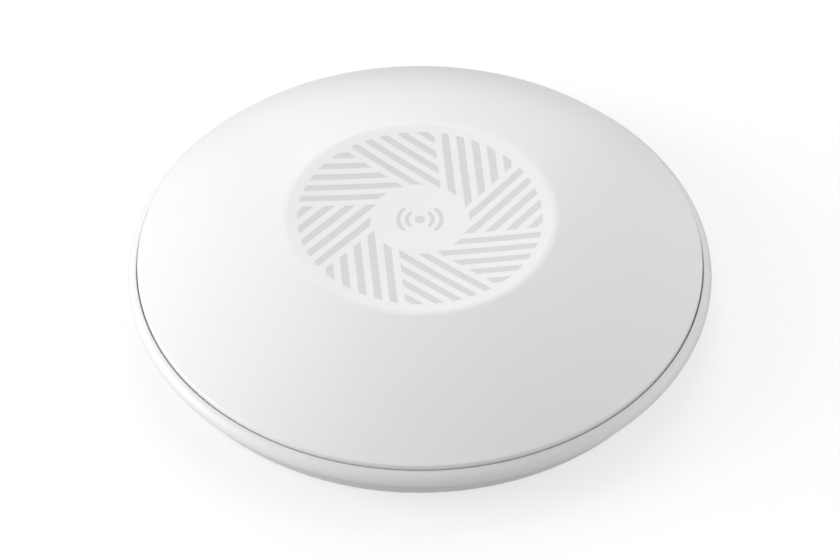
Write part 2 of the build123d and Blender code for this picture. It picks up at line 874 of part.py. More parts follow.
with BuildPart() as power_transformer:
    # ferrite core, open at both ends where the windings show
    width, depth, height = power_transformer_size
    core_x, core_y = power_transformer_spot
    with BuildSketch(Plane.XY.offset(board_top_z)):
        with Locations(power_transformer_spot):
            Rectangle(width, depth)
    extrude(amount=height)
    with BuildSketch(Plane.XY.offset(board_top_z + core_flange)):
        with Locations((core_x, core_y - depth / 2), (core_x, core_y + depth / 2)):
            Rectangle(winding_window[0], 2 * winding_window[1])
    extrude(amount=height - 2 * core_flange, mode=Mode.SUBTRACT)
    fillet(power_transformer.edges().filter_by(Axis.Z), radius=0.08 * height)

with BuildPart() as power_capacitors:
    with BuildSketch(Plane.XY.offset(board_top_z)):
        with Locations(*capacitor_spots):
            RectangleRounded(capacitor_foot, capacitor_foot, capacitor_foot_height)
    extrude(amount=capacitor_foot_height)
    with BuildSketch(Plane.XY.offset(board_top_z + capacitor_foot_height)):
        with Locations(*capacitor_spots):
            Circle(capacitor_radius)
    extrude(amount=capacitor_can_height)
    fillet(power_capacitors.faces().sort_by(Axis.Z)[-2:].edges(), radius=0.15 * capacitor_radius)

with BuildPart() as power_inductors:
    width, depth, height = inductor_size
    with BuildSketch(Plane.XY.offset(board_top_z)):
        with Locations(*inductor_spots):
            RectangleRounded(width, depth, inductor_corner)
    extrude(amount=height)
    fillet(power_inductors.faces().sort_by(Axis.Z)[-2:].edges(), radius=inductor_corner / 3)


# ---------------------------------------------------------------- antennas
def antenna(length, width, height):
    """Inverted-F antenna of bent sheet: a raised arm, with a short leg and a feed leg."""
    leg_x = (width - antenna_sheet) / 2
    leg_y = (length - antenna_sheet) / 2
    feed_y = 0.18 * length
    with BuildPart() as made:
        with BuildSketch(Plane.XY.offset(height - antenna_sheet)):
            Rectangle(width, length)
            with Locations((0, -feed_y)):
                Rectangle(0.45 * width, 0.5 * length, mode=Mode.SUBTRACT)
        extrude(amount=antenna_sheet)
        with BuildSketch():
            with Locations((0, leg_y)):
                Rectangle(0.5 * width, antenna_sheet)
            with Locations((leg_x, feed_y)):
                Rectangle(antenna_sheet, 0.3 * width)
        extrude(amount=height)
    return made.part


def antenna_place(angle):
    """Place on the board, in the direction given, for an antenna that faces outwards."""
    return Rotation(0, 0, angle) * Location((antenna_circle, 0, board_top_z))


with BuildPart() as low_band_antennas:
    with Locations(*[antenna_place(angle) for angle in low_band_angles]):
        add(antenna(*low_band_size))

with BuildPart() as high_band_antennas:
    with Locations(*[antenna_place(angle) for angle in high_band_angles]):
        add(antenna(*high_band_size))

# ---------------------------------------------------------------- status light
with BuildPart() as status_led:
    with BuildSketch(Plane.XY.offset(board_top_z)):
        Rectangle(led_size, led_size)
    extrude(amount=led_height)

with BuildPart() as light_pipe:
    pipe_low_z = board_top_z + led_height + light_pipe_gap
    pipe_top_z = dish_z - cover_wall - light_pipe_head_gap
    with BuildSketch(Plane.XY.offset(pipe_low_z)):
        Circle(light_pipe_radius)
    extrude(amount=pipe_top_z - pipe_low_z)
    # two feet stand on the board either side of the light
    with BuildSketch(Plane.XY.offset(board_top_z)):
        with Locations((0, light_pipe_foot_y), (0, -light_pipe_foot_y)):
            Rectangle(*light_pipe_foot)
    extrude(amount=pipe_low_z + over - board_top_z)

# ---------------------------------------------------------------- reset button
switch_front_y = port_front_y + reset_setback
switch_width, switch_depth, switch_height = reset_body
switch_top_z = reset_z + switch_height / 2
stem_length = switch_depth - reset_back_wall

with BuildPart() as reset_switch:
    with BuildSketch(Plane.XZ.offset(-switch_front_y)):
        with Locations((reset_x, reset_z)):
            RectangleRounded(switch_width, switch_height, reset_cap_edge)
    extrude(amount=-switch_depth)
    with BuildSketch(Plane.XZ.offset(-switch_front_y)):
        with Locations((reset_x, reset_z)):
            Circle(reset_stem_radius + reset_stem_clearance)
    extrude(amount=-(stem_length + reset_clearance + reset_travel), mode=Mode.SUBTRACT)
    # lead frame up to the board
    with BuildSketch(Plane.XY.offset(switch_top_z)):
        with Locations((reset_x, switch_front_y + switch_depth / 2)):
            Rectangle(switch_width - reset_back_wall, switch_depth - reset_back_wall)
    extrude(amount=board_z - switch_top_z)

with BuildPart() as reset_button:
    cap_back_y = switch_front_y - reset_gap
    with BuildSketch(Plane.XZ.offset(-(switch_front_y + stem_length))):
        with Locations((reset_x, reset_z)):
            Circle(reset_stem_radius)
    extrude(amount=stem_length + reset_gap)
    with BuildSketch(Plane.XZ.offset(-cap_back_y)):
        with Locations((reset_x, reset_z)):
            Circle(reset_cap_radius)
    extrude(amount=cap_back_y - bay_high_y + reset_gap)
    fillet(reset_button.faces().sort_by(Axis.Y)[0].edges(), radius=reset_cap_edge)

# ---------------------------------------------------------------- rear label
with BuildPart() as rear_label:
    with BuildSketch(Plane.XY.offset(base_z + label_depth - label_thickness)):
        with Locations((0, label_y)):
            RectangleRounded(*label_size, label_corner)
    extrude(amount=label_thickness)

# ---------------------------------------------------------------- files
write(face_pattern.part, "face_pattern")
write(centre_mark.part, "centre_mark")
write(front_cover.part, "front_cover")
write(base_housing.part, "base_housing")
write(mounting_bracket.part, "mounting_bracket")
write(lock_studs.part, "lock_studs")
write(cover_screws.part, "cover_screws")
write(board_screws.part, "board_screws")
write(spreader_screws.part, "spreader_screws")
write(main_board.part, "main_board")
write(heat_spreader.part, "heat_spreader")
write(thermal_pads.part, "thermal_pads")
write(processor_shield.part, "processor_shield")
write(radio_shields.part, "radio_shields")
write(processor_chip.part, "processor_chip")
write(memory_chip.part, "memory_chip")
write(radio_chips.part, "radio_chips")
write(port_shell.part, "port_shell")
write(port_insulator.part, "port_insulator")
write(port_contacts.part, "port_contacts")
write(network_transformer.part, "network_transformer")
write(power_transformer.part, "power_transformer")
write(power_capacitors.part, "power_capacitors")
write(power_inductors.part, "power_inductors")
write(low_band_antennas.part, "low_band_antennas")
write(high_band_antennas.part, "high_band_antennas")
write(status_led.part, "status_led")
write(light_pipe.part, "light_pipe")
write(reset_switch.part, "reset_switch")
write(reset_button.part, "reset_button")
write(rear_label.part, "rear_label")
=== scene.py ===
"""Looks of the ceiling access point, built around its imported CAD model."""

import json
import math
import random

import bmesh
import bpy
from mathutils import Matrix, Vector


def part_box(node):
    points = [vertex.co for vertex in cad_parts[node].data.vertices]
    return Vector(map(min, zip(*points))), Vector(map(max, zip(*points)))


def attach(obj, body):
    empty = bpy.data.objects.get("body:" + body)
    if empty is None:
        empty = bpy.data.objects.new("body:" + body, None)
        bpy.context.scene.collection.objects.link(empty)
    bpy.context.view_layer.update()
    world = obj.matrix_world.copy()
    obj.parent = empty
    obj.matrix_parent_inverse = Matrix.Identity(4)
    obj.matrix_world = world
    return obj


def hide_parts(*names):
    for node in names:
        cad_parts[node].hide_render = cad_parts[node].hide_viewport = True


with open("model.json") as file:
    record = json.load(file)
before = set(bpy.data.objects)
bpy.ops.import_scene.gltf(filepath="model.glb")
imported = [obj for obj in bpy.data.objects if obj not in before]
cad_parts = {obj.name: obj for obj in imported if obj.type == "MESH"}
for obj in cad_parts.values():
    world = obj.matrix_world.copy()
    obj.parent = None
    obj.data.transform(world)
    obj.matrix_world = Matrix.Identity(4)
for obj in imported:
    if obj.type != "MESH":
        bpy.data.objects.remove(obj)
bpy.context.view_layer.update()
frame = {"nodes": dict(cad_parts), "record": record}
nodes = frame["nodes"]
mm = 0.001

# ---------------------------------------------------------------- sizes from the frame
cover_low, cover_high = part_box("front_cover")
board_low, board_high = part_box("main_board")
port_low, port_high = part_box("port_shell")
seam_radius = (cover_high.x - cover_low.x) / 2
cover_rise = 21.48 * mm  # from the seam up to the edge of the dish
rim_roll = 7.5 * mm  # from the seam down to the set-back band
seam_z = cover_high.z - cover_rise
lip_z = seam_z - rim_roll
weld_distance = 0.001 * mm  # corners closer than this belong to one solid


def solids(node_name):
    """Lowest and highest corners of each separate solid of a CAD node, from left to right."""
    grown = bmesh.new()
    grown.from_mesh(nodes[node_name].data)
    bmesh.ops.remove_doubles(grown, verts=grown.verts, dist=weld_distance)
    waiting = set(grown.verts)
    found = []
    while waiting:
        edge_of_search = [waiting.pop()]
        points = []
        while edge_of_search:
            vertex = edge_of_search.pop()
            points.append(vertex.co.copy())
            for edge in vertex.link_edges:
                other = edge.other_vert(vertex)
                if other in waiting:
                    waiting.remove(other)
                    edge_of_search.append(other)
        low = Vector([min(p[axis] for p in points) for axis in range(3)])
        high = Vector([max(p[axis] for p in points) for axis in range(3)])
        found.append((low, high))
    grown.free()
    return sorted(found, key=lambda box: (round(box[0].x, 5), round(box[0].y, 5)))


def middle(box):
    """Middle of a box given by its lowest and highest corners."""
    return (box[0] + box[1]) / 2


# ---------------------------------------------------------------- material tools
worn_cosine = 0.75  # how far the rounded and the flat normal agree on a fully worn edge
fresh_cosine = 0.98  # and where there is no wear


class Graph:
    """Adds nodes to a material and links them, so that each material below stays short."""

    def __init__(self, name):
        self.material = bpy.data.materials.new(name)
        self.material.use_nodes = True
        self.tree = self.material.node_tree
        self.tree.nodes.clear()
        self.output = self.add("ShaderNodeOutputMaterial")
        self.shader = self.add("ShaderNodeBsdfPrincipled")
        self.link(self.shader, "BSDF", self.output, "Surface")
        self.place = self.add("ShaderNodeTexCoord")

    def add(self, kind, **settings):
        """A new node of some kind, with its settings."""
        node = self.tree.nodes.new(kind)
        for key, value in settings.items():
            setattr(node, key, value)
        return node

    def link(self, source, out_name, target, in_name):
        self.tree.links.new(source.outputs[out_name], target.inputs[in_name])

    def noise(self, scale, detail=3.0, roughness=0.5, stretch=None):
        """Noise in the object's own coordinates, stretched if asked."""
        node = self.add("ShaderNodeTexNoise")
        node.inputs["Scale"].default_value = scale
        node.inputs["Detail"].default_value = detail
        node.inputs["Roughness"].default_value = roughness
        if stretch is None:
            self.link(self.place, "Object", node, "Vector")
        else:
            mapping = self.add("ShaderNodeMapping")
            mapping.inputs["Scale"].default_value = stretch
            self.link(self.place, "Object", mapping, "Vector")
            self.link(mapping, "Vector", node, "Vector")
        return node

    def cells(self, scale, **settings):
        """Cells in the object's own coordinates."""
        node = self.add("ShaderNodeTexVoronoi", **settings)
        node.inputs["Scale"].default_value = scale
        self.link(self.place, "Object", node, "Vector")
        return node

    def height(self):
        """The Z of the object's own coordinates."""
        node = self.add("ShaderNodeSeparateXYZ")
        self.link(self.place, "Object", node, "Vector")
        return node

    def ramp(self, source, out_name, low, high, low_colour, high_colour):
        """Colour that goes from one to another as a value goes from low to high."""
        node = self.add("ShaderNodeValToRGB")
        node.color_ramp.elements[0].position = low
        node.color_ramp.elements[0].color = (*low_colour, 1)
        node.color_ramp.elements[1].position = high
        node.color_ramp.elements[1].color = (*high_colour, 1)
        self.link(source, out_name, node, "Fac")
        return node

    def span(self, source, out_name, low, high, from_low=0.0, from_high=1.0):
        """A value brought from one range to another."""
        node = self.add("ShaderNodeMapRange")
        node.inputs["From Min"].default_value = from_low
        node.inputs["From Max"].default_value = from_high
        node.inputs["To Min"].default_value = low
        node.inputs["To Max"].default_value = high
        self.link(source, out_name, node, "Value")
        return node

    def paint(self, colour, out_name, over_colour, over_name, share, how="MIX"):
        """Mixes one colour over another, by a fixed share or by a node's Result."""
        node = self.add("ShaderNodeMix", data_type="RGBA", blend_type=how)
        if isinstance(share, float):
            node.inputs["Factor"].default_value = share
        else:
            self.link(share, "Result", node, "Factor")
        self.tree.links.new(colour.outputs[out_name], node.inputs["A"])
        self.tree.links.new(over_colour.outputs[over_name], node.inputs["B"])
        return node

    def colour(self, source, out_name):
        """Gives the surface its colour."""
        self.tree.links.new(source.outputs[out_name], self.shader.inputs["Base Color"])

    def rounded(self, radius):
        """Normals that round off hard edges."""
        node = self.add("ShaderNodeBevel", samples=4)
        node.inputs["Radius"].default_value = radius
        return node

    def edge_wear(self, radius):
        """Near 1 where an edge is closer than radius, and 0 on open faces."""
        bent = self.rounded(radius)
        flat = self.add("ShaderNodeNewGeometry")
        compare = self.add("ShaderNodeVectorMath", operation="DOT_PRODUCT")
        self.link(bent, "Normal", compare, 0)
        self.link(flat, "Normal", compare, 1)
        return self.span(compare, "Value", 1.0, 0.0, worn_cosine, fresh_cosine)

    def bump(self, source, out_name, strength, distance, below=None):
        """Relief from a value, laid over another relief if one is below it."""
        node = self.add("ShaderNodeBump")
        node.inputs["Strength"].default_value = strength
        node.inputs["Distance"].default_value = distance
        self.link(source, out_name, node, "Height")
        if below is not None:
            self.link(below, "Normal", node, "Normal")
        return node

    def set(self, **values):
        """Sets constants on the shader, with _ for the spaces in a socket's name."""
        for key, value in values.items():
            self.shader.inputs[key.replace("_", " ")].default_value = value


def grey(value):
    """Neutral colour."""
    return (value, value, value)


def scaled(colour, share):
    """Colour made darker or lighter."""
    return tuple(c * share for c in colour)


# ---------------------------------------------------------------- materials
grain_scale = 2600  # cells per metre of the texture that a spark-eroded mould leaves
mould_edge = 0.15 * mm
metal_edge = 0.12 * mm
worn_edge = 0.25 * mm
# painted shade: how far ambient occlusion reaches, and how strongly it darkens the plastic's creases
# and seams
crease_reach = 2 * mm
crease_shade_share = 0.1
# painted shade: the height over which the band under the rim fades into its painted darkening
under_rim_shade_fade = 0.2 * mm

# most of a noise's values lie between these
noise_low = 0.3
noise_high = 0.7
metal_noise_high = 0.75


def moulded_plastic(name, colour, roughness, grain=0.25, drift=0.02, under_rim_shade=None):
    """Fine-textured moulding: grain, slow drifts of tone and gloss, and painted shade that darkens
    its creases.

    With a shade share, the set-back band below the rim is painted that much darker: painted shade
    under the rim's overhang.
    """
    g = Graph(name)
    slow = g.noise(18, detail=2)
    tone = g.ramp(slow, "Fac", noise_low, noise_high, scaled(colour, 1 - drift), colour)
    skin = tone
    skin_out = "Color"
    # painted shade: the band below the rim's lip is darkened by height, for the shade under the
    # overhang
    if under_rim_shade is not None:
        darker = scaled(colour, under_rim_shade)
        darkest = scaled(colour, under_rim_shade * (1 - drift))
        back = g.ramp(slow, "Fac", noise_low, noise_high, darkest, darker)
        below = g.span(g.height(), "Z", 1.0, 0.0, lip_z - under_rim_shade_fade, lip_z)
        skin = g.paint(tone, "Color", back, "Color", below)
        skin_out = "Result"
    # painted shade: ambient occlusion multiplies the colour darker in creases and seams
    crease = g.add("ShaderNodeAmbientOcclusion", samples=8)
    crease.inputs["Distance"].default_value = crease_reach
    crease_shaded = g.paint(skin, skin_out, crease, "Color", crease_shade_share, how="MULTIPLY")
    g.colour(crease_shaded, "Result")
    fine = g.noise(grain_scale, detail=4)
    gloss = g.span(fine, "Fac", roughness - 0.05, roughness + 0.05)
    g.link(gloss, "Result", g.shader, "Roughness")
    flow = g.noise(60, detail=2)
    waves = g.bump(flow, "Fac", 0.05, 0.1 * mm, below=g.rounded(mould_edge))
    texture = g.bump(fine, "Fac", grain, 0.03 * mm, below=waves)
    g.link(texture, "Normal", g.shader, "Normal")
    return g.material


def printed_ink(name, colour, roughness):
    """Flat print, a little uneven in density, with the plastic's grain showing through it."""
    g = Graph(name)
    density = g.noise(700, detail=5)
    tone = g.ramp(density, "Fac", noise_low, noise_high, scaled(colour, 0.975), colour)
    g.colour(tone, "Color")
    fine = g.noise(grain_scale, detail=4)
    gloss = g.span(fine, "Fac", roughness - 0.04, roughness + 0.06)
    g.link(gloss, "Result", g.shader, "Roughness")
    texture = g.bump(fine, "Fac", 0.2, 0.02 * mm)
    g.link(texture, "Normal", g.shader, "Normal")
    return g.material


def plated_metal(name, colour, roughness, brush=None, mottle=0.12, worn=None, spangle=None):
    """Bare or plated metal: mottled gloss, brushing, crystal spangle and worn edges as asked."""
    g = Graph(name)
    g.set(Metallic=1.0)
    broad = g.noise(140, detail=5)
    tone = g.ramp(broad, "Fac", noise_low, metal_noise_high, scaled(colour, 1 - mottle), colour)
    skin = tone
    skin_out = "Color"
    fine = g.noise(900, detail=6, stretch=brush or (1, 1, 1))
    gloss = g.span(fine, "Fac", roughness - 0.08, roughness + 0.1)
    gloss_out = "Result"
    if spangle is not None:
        crystals = g.cells(spangle, feature="F1")
        flakes = g.ramp(crystals, "Color", 0.2, 0.9, scaled(colour, 0.8), colour)
        skin = g.paint(tone, "Color", flakes, "Color", 0.5)
        skin_out = "Result"
        facets = g.span(crystals, "Color", -0.07, 0.07)
        both = g.add("ShaderNodeMath", operation="ADD")
        g.link(gloss, "Result", both, 0)
        g.link(facets, "Result", both, 1)
        gloss = both
        gloss_out = "Value"
    if worn is not None:
        rubbed = g.ramp(broad, "Fac", noise_low, metal_noise_high, scaled(worn, 0.9), worn)
        skin = g.paint(skin, skin_out, rubbed, "Color", g.edge_wear(worn_edge))
        skin_out = "Result"
    g.colour(skin, skin_out)
    g.link(gloss, gloss_out, g.shader, "Roughness")
    texture = g.bump(fine, "Fac", 0.2, 0.02 * mm, below=g.rounded(metal_edge))
    g.link(texture, "Normal", g.shader, "Normal")
    return g.material


def laminate(name, mask, woven):
    """Circuit board: green solder mask, with the glass weave under it just showing."""
    g = Graph(name)
    warp = g.noise(260, detail=1, stretch=(12, 1, 1))
    weft = g.noise(260, detail=1, stretch=(1, 12, 1))
    along = g.ramp(warp, "Fac", 0.35, 0.65, mask, woven)
    across = g.ramp(weft, "Fac", 0.35, 0.65, mask, woven)
    weave = g.paint(along, "Color", across, "Color", 0.5)
    g.colour(weave, "Result")
    fine = g.noise(1500)
    gloss = g.span(fine, "Fac", 0.22, 0.34)
    g.link(gloss, "Result", g.shader, "Roughness")
    texture = g.bump(warp, "Fac", 0.12, 0.03 * mm)
    g.link(texture, "Normal", g.shader, "Normal")
    return g.material


def clear_plastic(name):
    """Polished clear moulding with faint flow marks."""
    g = Graph(name)
    g.set(Base_Color=(0.95, 0.97, 0.98, 1), Transmission_Weight=1.0, IOR=1.49)
    fine = g.noise(300)
    gloss = g.span(fine, "Fac", 0.05, 0.16)
    g.link(gloss, "Result", g.shader, "Roughness")
    flow = g.noise(160, detail=1)
    texture = g.bump(flow, "Fac", 0.05, 0.05 * mm)
    g.link(texture, "Normal", g.shader, "Normal")
    return g.material


board_green = (0.012, 0.075, 0.032)
zinc = (0.62, 0.63, 0.65)

# the first number or colour is the tone, and the number after it the roughness
materials = {
    "cover_plastic": moulded_plastic("cover_plastic", grey(0.86), 0.3),
    # the base's set-back band below the rim gets painted shade
    "base_plastic": moulded_plastic("base_plastic", grey(0.81), 0.42, under_rim_shade=0.87),
    "print_grey": printed_ink("print_grey", grey(0.72), 0.5),
    "bracket_steel": plated_metal("bracket_steel", zinc, 0.36, worn=grey(0.8), spangle=110),
    "stud_steel": plated_metal("stud_steel", (0.55, 0.55, 0.56), 0.3, worn=grey(0.75)),
    "screw_steel": plated_metal("screw_steel", (0.5, 0.5, 0.52), 0.32, worn=grey(0.72)),
    "board_laminate": laminate("board_laminate", board_green, scaled(board_green, 1.35)),
    "spreader_aluminium": plated_metal(
        "spreader_aluminium", (0.8, 0.81, 0.83), 0.38, brush=(0.05, 1, 1), mottle=0.06
    ),
    "thermal_pad": moulded_plastic("thermal_pad", (0.35, 0.4, 0.5), 0.8, grain=0.5),
    "shield_tin": plated_metal("shield_tin", (0.7, 0.7, 0.69), 0.34, mottle=0.08),
    "chip_epoxy": moulded_plastic("chip_epoxy", grey(0.02), 0.6, grain=0.4),
    "port_plastic": moulded_plastic("port_plastic", grey(0.02), 0.5),
    "contact_gold": plated_metal("contact_gold", (0.9, 0.64, 0.26), 0.22, mottle=0.08),
    "ferrite": moulded_plastic("ferrite", grey(0.06), 0.55, grain=0.5, drift=0.15),
    "capacitor_can": plated_metal("capacitor_can", (0.75, 0.76, 0.78), 0.3),
    "antenna_metal": plated_metal("antenna_metal", (0.75, 0.72, 0.62), 0.3),
    "led_body": moulded_plastic("led_body", (0.85, 0.85, 0.78), 0.3),
    "clear_plastic": clear_plastic("clear_plastic"),
    "button_plastic": moulded_plastic("button_plastic", grey(0.03), 0.4),
    "label_film": printed_ink("label_film", grey(0.72), 0.45),
}

slot_of = {s["node"]: s["material_slot"] for s in frame["record"]["subparts"]}
for node_name, node in nodes.items():
    node.data.materials.clear()
    node.data.materials.append(materials[slot_of[node_name]])

# materials of the pieces that only this model has
amber_tape = moulded_plastic("amber_tape", (0.62, 0.36, 0.05), 0.3, grain=0.05, drift=0.1)
solder = plated_metal("solder", (0.72, 0.73, 0.75), 0.24, mottle=0.15)
copper_track = laminate("copper_track", (0.03, 0.17, 0.07), (0.04, 0.2, 0.09))
tan_ceramic = moulded_plastic("tan_ceramic", (0.42, 0.3, 0.18), 0.45, drift=0.15)
black_resistor = moulded_plastic("black_resistor", grey(0.015), 0.35)


# ---------------------------------------------------------------- mesh tools
def rounded_outline(width, depth, corner, steps=4):
    """Corners of a rounded rectangle about the origin, anticlockwise."""
    points = []
    for turn, (sx, sy) in enumerate(((1, 1), (-1, 1), (-1, -1), (1, -1))):
        for k in range(steps + 1):
            angle = math.pi / 2 * (turn + k / steps)
            x = sx * (width / 2 - corner) + corner * math.cos(angle)
            y = sy * (depth / 2 - corner) + corner * math.sin(angle)
            points.append((x, y))
    return points


sharp_angle = math.radians(35)  # edges that turn further than this stay sharp


class Shape:
    """Collects closed forms into one mesh, which becomes one piece."""

    def __init__(self):
        self.mesh = bmesh.new()

    def loft(self, rings):
        """Closed form through rings that have the same number of points."""
        layers = [[self.mesh.verts.new(point) for point in ring] for ring in rings]
        for lower, upper in zip(layers, layers[1:]):
            for k in range(len(lower)):
                after = (k + 1) % len(lower)
                self.mesh.faces.new((lower[k], lower[after], upper[after], upper[k]))
        self.mesh.faces.new(layers[0][::-1])
        self.mesh.faces.new(layers[-1])

    def slab(self, foot, outline, levels):
        """Form that stands on foot. A level is a height, and how far the outline shrinks there."""
        reach = max(max(abs(x), abs(y)) for x, y in outline)
        rings = []
        for height, shrink in levels:
            share = 1 - shrink / reach
            rings.append([foot + Vector((x * share, y * share, height)) for x, y in outline])
        self.loft(rings)

    def block(self, foot, size, edge):
        """Box that stands on foot, with rounded edges all round."""
        width, depth, height = size
        levels = ((0, edge), (edge, 0), (height - edge, 0), (height, edge))
        self.slab(foot, rounded_outline(width, depth, edge, steps=2), levels)

    def lathe(self, foot, profile, steps=32):
        """Round form about the vertical through foot, from (radius, height) pairs."""
        layers = []
        for radius, height in profile:
            count = steps if radius > 0 else 1
            turns = [2 * math.pi * k / steps for k in range(count)]
            ring = [Vector((radius * math.cos(a), radius * math.sin(a), height)) for a in turns]
            layers.append([self.mesh.verts.new(foot + point) for point in ring])
        for lower, upper in zip(layers, layers[1:]):
            for k in range(steps):
                after = (k + 1) % steps
                corners = (
                    lower[k % len(lower)],
                    lower[after % len(lower)],
                    upper[after % len(upper)],
                    upper[k % len(upper)],
                )
                self.mesh.faces.new(tuple(dict.fromkeys(corners)))

    def sweep(self, path, side, section):
        """Form that follows a flat path. The section is (sideways, outward) pairs."""
        points = [Vector(point) for point in path]
        side = Vector(side).normalized()
        outs = [(b - a).cross(side).normalized() for a, b in zip(points, points[1:])]
        rings = []
        for k, point in enumerate(points):
            before = outs[max(k - 1, 0)]
            after = outs[min(k, len(outs) - 1)]
            mitre = (before + after) / (1 + before.dot(after))
            rings.append([point + side * s + mitre * o for s, o in section])
        self.loft(rings)

    def strip(self, path, side, width, thickness):
        """Flat strip along a path, for leads, terminals and tracks."""
        half = width / 2
        section = ((-half, 0), (half, 0), (half, thickness), (-half, thickness))
        self.sweep(path, side, section)

    def thread(self, axis_point, low, high, radius, rise, pitch, steps=24):
        """Screw thread: a ridge that climbs round a shank and fades out at both ends."""
        sunk = 0.05 * mm
        flank = 0.3 * pitch
        count = int((high - low) / pitch * steps)
        rings = []
        for k in range(count + 1):
            angle = 2 * math.pi * k / steps
            fade = min(1.0, k / steps, (count - k) / steps)
            out = Vector((math.cos(angle), math.sin(angle), 0))
            on_axis = axis_point + Vector((0, 0, low + pitch * k / steps))
            root = on_axis + out * (radius - sunk)
            crest = on_axis + out * (radius + rise * fade)
            spread = Vector((0, 0, flank))
            rings.append([root - spread, crest, root + spread])
        self.loft(rings)

    def piece(self, name, material, slot_name, *stands_for):
        """Makes the piece, which rides on the housing and may stand for CAD nodes."""
        bmesh.ops.recalc_face_normals(self.mesh, faces=self.mesh.faces)
        data = bpy.data.meshes.new(name)
        self.mesh.to_mesh(data)
        self.mesh.free()
        data.materials.append(material)
        for face in data.polygons:
            face.use_smooth = True
        data.set_sharp_from_angle(angle=sharp_angle)
        made = bpy.data.objects.new(name, data)
        bpy.context.scene.collection.objects.link(made)
        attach(made, "housing")
        if stands_for:
            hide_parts(*stands_for)


# ---------------------------------------------------------------- places on the board
board_top = board_high.z
board_bottom = board_low.z
up = Vector((0, 0, 1))


def foot_of(box):
    """The point on the board's top face under the middle of a box."""
    spot = middle(box)
    spot.z = board_top
    return spot


def on_board(x, y):
    """A point on the board's top face, from millimetres."""
    return Vector((x * mm, y * mm, board_top))


# ---------------------------------------------------------------- leads and chips
lead_thickness = 0.15 * mm
lead_knee = 0.25  # where a gull-wing lead turns down, as a share of its reach
lead_shin = 0.45  # where it turns out again


def gull_lead(shape, root, out, width, drop, reach):
    """Bent lead that leaves a body at root, steps down and ends flat on the board."""
    out = Vector(out)
    down = Vector((0, 0, lead_thickness - drop))
    path = (
        root,
        root + out * lead_knee * reach,
        root + out * lead_shin * reach + down,
        root + out * reach + down,
    )
    shape.strip(path, up.cross(out), width, lead_thickness)


def lead_row(shape, row_middle, out, count, pitch, width, drop, reach):
    """Row of leads along one side of a body."""
    along = up.cross(Vector(out))
    for k in range(count):
        root = row_middle + along * pitch * (k - (count - 1) / 2)
        gull_lead(shape, root, out, width, drop, reach)


def moulded_case(shape, foot, size, draft):
    """Moulded body with a parting line half way up, and walls that lean in from it."""
    width, depth, height = size
    clear = 0.06 * height
    parting_low, parting_high = 0.48 * height, 0.52 * height
    outline = rounded_outline(width, depth, draft, steps=2)
    levels = (
        (clear, draft),
        (parting_low, 0),
        (parting_high, 0),
        (height - draft / 2, draft),
        (height, 1.5 * draft),
    )
    shape.slab(foot, outline, levels)


dot_sunk = 0.1 * mm


def first_pin_dot(shape, middle_point, outer, inner, proud, steps):
    """Shallow round mark beside a chip's first lead."""
    profile = ((0, -dot_sunk), (outer, -dot_sunk), (inner, proud), (0, 0))
    shape.lathe(middle_point, profile, steps)


# ---------------------------------------------------------------- power parts
def capacitor_foot(feet, foot, width):
    """Black plinth with two corners cut off, which show the polarity."""
    half = width / 2
    cut = half - 0.22 * width
    outline = ((half, half), (-cut, half), (-half, cut), (-half, -cut), (-cut, -half), (half, -half))
    levels = ((0.1 * mm, 0.15 * mm), (0.3 * mm, 0), (1.0 * mm, 0), (1.2 * mm, 0.2 * mm))
    feet.slab(foot, outline, levels)


def capacitor_can(cans, marks, foot, radius, height):
    """Rolled can with a groove, three raised score lines and a printed polarity segment."""
    bottom, shoulder = 1.0 * mm, 1.4 * mm
    groove_low, groove, groove_high = 1.9 * mm, 2.2 * mm, 2.5 * mm
    crimp, crimp_inset, rim = 0.5 * mm, 0.15 * mm, 0.12 * mm
    profile = (
        (0, bottom),
        (0.9 * radius, bottom),
        (radius, shoulder),
        (radius, groove_low),
        (0.95 * radius, groove),
        (radius, groove_high),
        (radius, height - crimp),
        (radius - crimp_inset, height - rim),
        (0.92 * radius, height),
        (0.87 * radius, height),
        (0.85 * radius, height - rim),
        (0, height - rim),
    )
    cans.lathe(foot, profile, steps=48)
    score_width, score_reach = 0.14 * mm, 0.55 * radius
    top = foot + Vector((0, 0, height - 1.6 * rim))
    for turn in (0, 60, 120):
        arm = Vector((math.cos(math.radians(turn)), math.sin(math.radians(turn)), 0))
        ends = (top - arm * score_reach, top + arm * score_reach)
        cans.strip(ends, up.cross(arm), score_width, rim)
    mark_start, mark_turn, mark_steps, mark_radius = 125, 110, 12, 0.83 * radius
    segment = []
    for k in range(mark_steps + 1):
        angle = math.radians(mark_start + mark_turn * k / mark_steps)
        segment.append((mark_radius * math.cos(angle), mark_radius * math.sin(angle)))
    marks.slab(foot, segment, ((height - rim, 0), (height - 0.7 * rim, 0)))


def power_capacitors():
    """Two aluminium capacitors on black plinths."""
    cans, feet, marks, leads = Shape(), Shape(), Shape(), Shape()
    can_inset = 0.15 * mm
    lead_width = 0.9 * mm
    for low, high in solids("power_capacitors"):
        foot = foot_of((low, high))
        width = high.x - low.x
        capacitor_foot(feet, foot, width)
        capacitor_can(cans, marks, foot, width / 2 - can_inset, high.z - low.z)
        for side in (-1, 1):
            start = foot + Vector((side * 0.2 * width, 0, 0))
            end = foot + Vector((side * 0.62 * width, 0, 0))
            leads.strip((start, end), (0, side, 0), lead_width, lead_thickness)
    cans.piece("capacitor_cans", materials["capacitor_can"], "capacitor_can", "power_capacitors")
    feet.piece("capacitor_feet", materials["chip_epoxy"], "chip_epoxy")
    marks.piece("capacitor_marks", black_resistor, "chip_epoxy")
    leads.piece("capacitor_leads", solder, "shield_tin")


